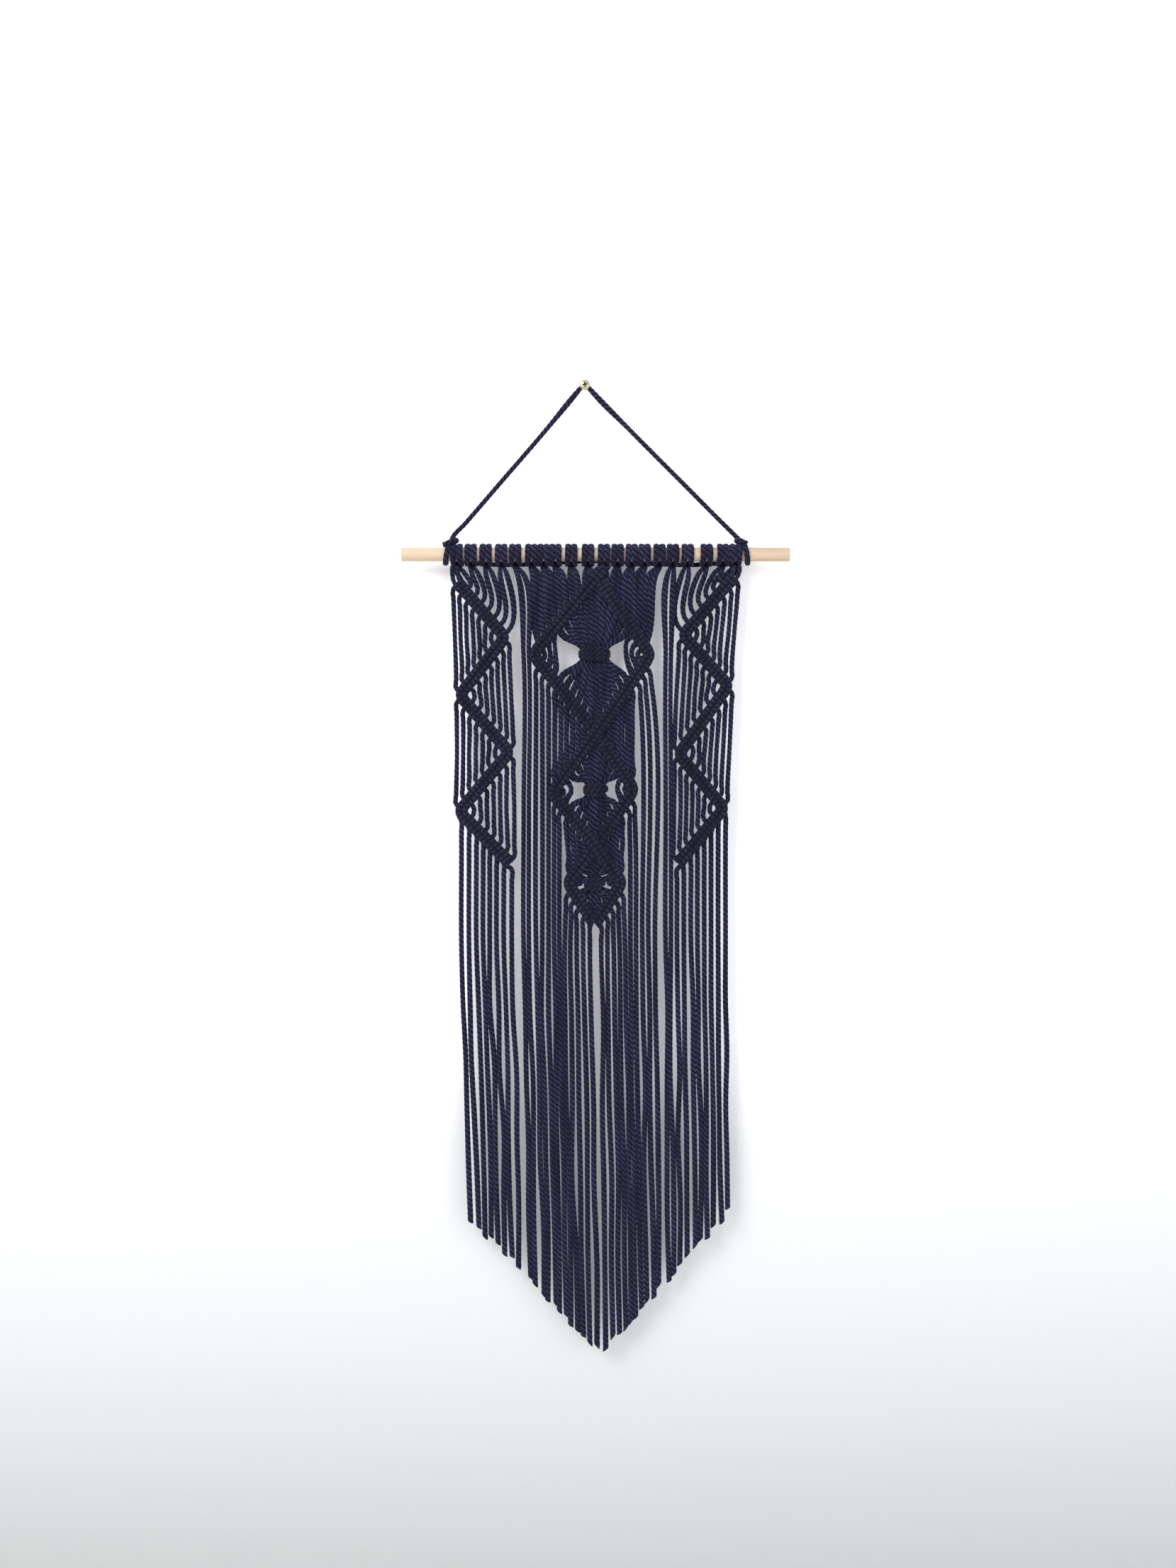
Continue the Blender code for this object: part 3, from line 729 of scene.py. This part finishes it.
# ---- the knotted ridges -------------------------------------------------------------------
# Two rows of double half hitches side by side. In each row every strand goes twice round a
# carrying cord, so the row is a tight spiral of cord; at a turn the carrying cord shows bare.
ROW_OFFSET = 2.72                # each row's axis from the middle of the pair
ROW_Y = -5.0
ROW_HALF = 2.95                  # half a row's thickness
WRAP = 4.35                      # length of row that one turn of cord takes up
DIP = 0.10                       # depth of the valley between turns, as a share of the radius
TURN_REACH = (3.0, 7.5)          # how far from a turn the inner and outer rows start to round
ROW_SIDES = 18
# painted shade: a darker copy of the cord's cotton, with a dimmer palest colour, standing in for the
# shade within the tight rows and knots
ridge_cotton_shaded = navy_cotton("navy_cotton_knotted_shaded", (0.0011, 0.0011, 0.0048),
                           (0.0060, 0.0058, 0.0175), (0.022, 0.0212, 0.050))


def offset_corners(corners, offset):
    """The corners of a line that runs beside another, to its left when offset is positive."""
    p = np.asarray(corners, float)
    along = unit(np.diff(p, axis=0))
    normal = np.stack([-along[:, 1], along[:, 0]], axis=1)
    moved = [p[0] + normal[0] * offset]
    for k in range(1, len(p) - 1):
        lean = normal[k - 1] + normal[k]
        moved.append(p[k] + lean * (2 * offset / (lean @ lean)))
    moved.append(p[-1] + normal[-1] * offset)
    return np.array(moved)


def hitched_row(name, corners, shifts, left_row):
    """One row of hitches, from corner to corner, rounding every turn that is not a crossing.

    Its radius is one, less a dip at the edge of each turn of cord and a ripple for its plies;
    the edges run square across the front and make up their slant behind. shifts bring the row
    forward or back at each corner.
    """
    rows = []

    def put(point, y, half=ROW_HALF):
        rows.append([DOWEL_MIDDLE[0] + point[0] * MM, (ROW_Y + y) * MM, point[1] * MM,
                     0.0, -1.0, 0.0, half * MM, half * MM])

    for k, here in enumerate(corners):
        if k:
            before = corners[k - 1]
            length = math.dist(before, here)
            for way in (0.18, 0.4, 0.6, 0.82):
                near = shifts[k - 1] if way < 0.5 else shifts[k]
                put(before + (here - before) * way, near * (0.45 if way in (0.18, 0.82) else 0.0))
        if k in (0, len(corners) - 1):
            on = unit((corners[1] - here if k == 0 else corners[-2] - here)[None])[0]
            for way, half in ((0.0, 1.3), (0.7, 2.3), (2.2, ROW_HALF))[::1 if k == 0 else -1]:
                put(here + on * way, shifts[k], half)
            continue
        if shifts[k]:
            put(here, shifts[k])
            continue
        back, on = [unit((corners[n] - here)[None])[0] for n in (k - 1, k + 1)]
        turn = (here - corners[k - 1])[0] * on[1] - (here - corners[k - 1])[1] * on[0]
        reach = TURN_REACH[int((turn > 0) != left_row)]
        for pull in ((back, 1.0), ((back + on) / 2, 0.55), (on, 1.0)):
            put(here + pull[0] * reach * pull[1], 0.0)
    place, run, outward, side, deep, wide = frame_along(rows, 0.5 * MM)
    angle = np.arange(ROW_SIDES + 1) * math.tau / ROW_SIDES
    turned = (angle - 0.85 * np.sin(angle)) / math.tau
    phase = (run / MM / WRAP)[:, None] + (turned if left_row else -turned)[None, :]
    edge = np.abs(2 * (phase % 1.0) - 1)
    dip = edge ** 3
    radius = 1 - DIP * dip - 0.012 * np.cos(math.tau * 3 * phase)
    points = (place[:, None, :] + outward[:, None, :] * (deep[:, None] * radius * np.cos(angle))
              [..., None] + side[:, None, :] * (wide[:, None] * radius * np.sin(angle))[..., None])
    around = np.tile(angle / math.tau * 1.3, (len(run), 1))
    # painted shade: darker at the edge of each turn of cord and along both sides of the row
    shadowed = np.maximum(dip, np.abs(np.sin(angle)) ** 5)
    row = skin(name, points[:, :-1], phase, around, shadowed[:, :-1])
    row.data.materials.append(ridge_cotton_shaded)
    return row


def knotted_rows(prefix, corners, nodes, body, starts, shifts):
    """Both rows along a zigzag, and the two carrying cords that come down into them."""
    for number, (offset, start) in enumerate(zip((ROW_OFFSET, -ROW_OFFSET), starts)):
        line = offset_corners(corners, offset)
        row = hitched_row("%s_row_%d" % (prefix, number + 1), line, shifts, number == 0)
        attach(row, body)
        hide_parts(*nodes)
        rows = [spot(x, y, z, 1.0, forward) for x, y, z in start]
        for way in (1.0, 5.0):
            point = line[0] + unit((line[1] - line[0])[None])[0] * way
            rows.append(spot(point[0], ROW_Y + shifts[0], point[1], 0.9, forward))
        carrier, _ = rope("%s_carrier_%d" % (prefix, number + 1), rows)
        carrier.data.materials.append(cord_cotton)
        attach(carrier, body)


knotted_rows("left_zigzag", LEFT_ZIGZAG, ["left_ridge_%d" % k for k in range(1, 6)],
             "left_strip", (((-127.5, 0.5, -167.0), (-126.0, -3.0, -173.0)),
                            ((-131.5, 0.5, -167.0), (-131.0, -3.0, -175.0))), [0.0] * 6)
knotted_rows("right_zigzag", RIGHT_ZIGZAG, ["right_ridge_%d" % k for k in range(1, 6)],
             "right_strip", (((132.0, 0.5, -167.0), (131.5, -3.0, -171.0)),
                             ((127.5, 0.5, -167.0), (126.5, -3.0, -169.0))), [0.0] * 6)


def winding(first_side, start):
    """The corners and parts of one pair of rows that winds down through the diamonds."""
    corners, nodes = [start], []
    side = first_side
    for number, diamond in enumerate(DIAMONDS):
        corners += [diamond[side], diamond["bottom"]]
        nodes += ["diamond_%d_%s_%s" % (number + 1, level, side) for level in ("upper", "lower")]
        side = "left" if side == "right" else "right"
    return corners, nodes


knotted_rows("front_winding", *winding("right", (4.0, -181.0)), "centre_panel",
             (((1.0, 0.5, -168.0), (2.5, -1.5, -175.0)),
              ((-5.0, 0.5, -168.0), (-1.5, -1.0, -176.0))),
             (0.0, 0.0, -1.3, 0.0, -1.3, 0.0, -1.3))
knotted_rows("rear_winding", *winding("left", (6.5, -169.5)), "centre_panel",
             (((7.0, 1.0, -164.0), (6.0, -3.0, -167.0)),
              ((12.0, 1.0, -166.0), (10.0, -3.0, -169.5))),
             (-0.8, 0.0, 2.6, 0.0, 2.6, 0.0, 2.0))

# ---- the gathering knots ------------------------------------------------------------------
# In the middle of each diamond two outer strands tie a square knot round the strands between
# them, which draws them into a waist with an open kite on each side.


def gathering_knot(name, diamond, node):
    """Snug turns of cord round the drawn-in strands, a flattened ring in plan."""
    x0, z0, height = diamond["knot"]
    count = diamond["half"] - len(diamond["loose"][0])
    wide = (count - 0.5) * KNOT_PITCH + 2.6
    deep = 4.9
    turns = max(2.0, (height - 4.2) / 4.1)
    turn = np.linspace(0.0, turns * math.tau, int(turns * 20)) + math.pi * 0.5
    c, s = np.cos(turn), np.sin(turn)
    share = (turn - turn[0]) / (turn[-1] - turn[0])
    x = x0 + wide * np.sign(c) * np.abs(c) ** 0.8
    y = SHEET_Y + deep * np.sign(s) * np.abs(s) ** 0.8
    z = z0 + (height - 3.4) * (0.5 - share) * (0.25 + 0.75 * np.abs(s)) + 0.6 * c
    flat = np.full_like(x, 1.9 * MM)
    rows = np.stack([DOWEL_MIDDLE[0] + x * MM, y * MM, z * MM, c * 0.6, s, np.zeros_like(c),
                     flat, flat * 1.2], axis=1)
    knot, _ = rope(name, rows)
    knot.data.materials.append(ridge_cotton_shaded)
    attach(knot, "centre_panel")
    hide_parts(node)


for number, diamond in enumerate(DIAMONDS):
    gathering_knot("gathering_knot_%d" % (number + 1), diamond, "diamond_%d_knot" % (number + 1))

# ---- the dowel ----------------------------------------------------------------------------
# A sanded, unvarnished birch dowel, sawn to length, with its ends' edges eased by hand.
DOWEL_SIDES = 64
EASE = 0.6 * MM


def turned(name, profile, axis_place, sides):
    """A round bar along X: each profile point (x, radius) swept round its axis, ends closed."""
    profile = np.asarray(profile, float)
    turn = np.arange(sides) * math.tau / sides
    rings = np.stack([np.broadcast_to(profile[:, :1], (len(profile), sides)),
                      axis_place[1] + profile[:, 1:] * np.cos(turn),
                      axis_place[2] + profile[:, 1:] * np.sin(turn)], axis=-1)
    ring = np.arange(len(profile) - 1)[:, None] * sides
    here = np.arange(sides)[None, :]
    after = (here + 1) % sides
    quads = np.stack([ring + here, ring + after, ring + sides + after, ring + sides + here],
                     axis=-1).reshape(-1, 4)
    mesh = bpy.data.meshes.new(name)
    last = (len(profile) - 1) * sides
    faces = quads.tolist() + [list(range(sides))[::-1], list(range(last, last + sides))]
    mesh.from_pydata(rings.reshape(-1, 3).tolist(), [], faces)
    mesh.polygons.foreach_set("use_smooth", [len(face) == 4 for face in faces])
    made = bpy.data.objects.new(name, mesh)
    bpy.context.scene.collection.objects.link(made)
    return made


def birch():
    """Pale wood: long grain streaks along its length, with finer streaks among them."""
    shade = Shade("birch")
    where = shade.node("TexCoord", output=3)
    long_way = shade.node("Mapping", Vector=where, Location=(0, 0, 0.1555), Scale=(6.0, 260.0, 260.0))
    grain = shade.node("TexNoise", Vector=long_way, Scale=1.0, Detail=5.0, Roughness=0.6,
                       Distortion=0.6)
    streaks = shade.node("TexNoise", Vector=shade.node("Mapping", Vector=where, Scale=(
        22.0, 1500.0, 1500.0)), Scale=1.0, Detail=2.0)
    tone = grain * 0.75 + streaks * 0.3
    colour = shade.node("ValToRGB", {"stops": (
        (0.30, (0.48, 0.34, 0.22)), (0.50, (0.61, 0.46, 0.33)), (0.72, (0.67, 0.53, 0.40)))},
        Fac=tone)
    bump = shade.node("Bump", Height=tone, Strength=0.25, Distance=0.0002)
    shade.set(Base_Color=colour, Roughness=0.55 + 0.25 * grain, Normal=bump)
    return shade.material


ends = (dowel_low[0], dowel_high[0])
profile = [(ends[0], DOWEL_RADIUS - EASE), (ends[0] + EASE * 0.3, DOWEL_RADIUS - EASE * 0.3),
           (ends[0] + EASE, DOWEL_RADIUS), (DOWEL_MIDDLE[0], DOWEL_RADIUS),
           (ends[1] - EASE, DOWEL_RADIUS), (ends[1] - EASE * 0.3, DOWEL_RADIUS - EASE * 0.3),
           (ends[1], DOWEL_RADIUS - EASE)]
stick = turned("birch_dowel", profile, DOWEL_MIDDLE, DOWEL_SIDES)
stick.data.materials.append(birch())
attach(stick, "dowel_rod")
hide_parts("dowel")
